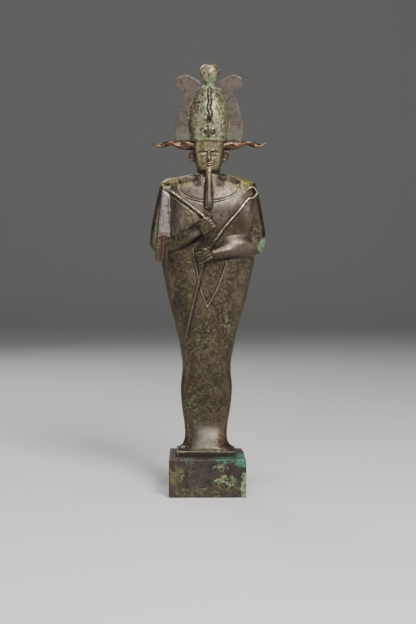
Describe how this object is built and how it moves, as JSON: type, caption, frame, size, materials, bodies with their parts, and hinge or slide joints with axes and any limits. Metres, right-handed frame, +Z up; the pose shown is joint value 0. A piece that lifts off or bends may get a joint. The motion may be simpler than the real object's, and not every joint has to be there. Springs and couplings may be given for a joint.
{
  "type": "osiris statuette",
  "caption": "Standing mummy-wrapped bronze figure with tall plumed crown, ram horns and beard, arms crossed with crook and flail, on a rectangular bronze block.",
  "frame": {"origin": "centre of the bronze block's underside", "axes": "+Z up; the figure faces -Y, and its own right arm is at -X"},
  "size_m": [0.1087, 0.078, 0.4],
  "materials": {
    "figure_bronze": "aged bronze, olive-brown with pale green and lilac patina",
    "block_bronze": "aged bronze, dark purple-brown with green patches"
  },
  "bodies": {
    "root": {"osiris_figure": "figure_bronze", "plinth_base": "block_bronze"}
  },
  "joints": []
}
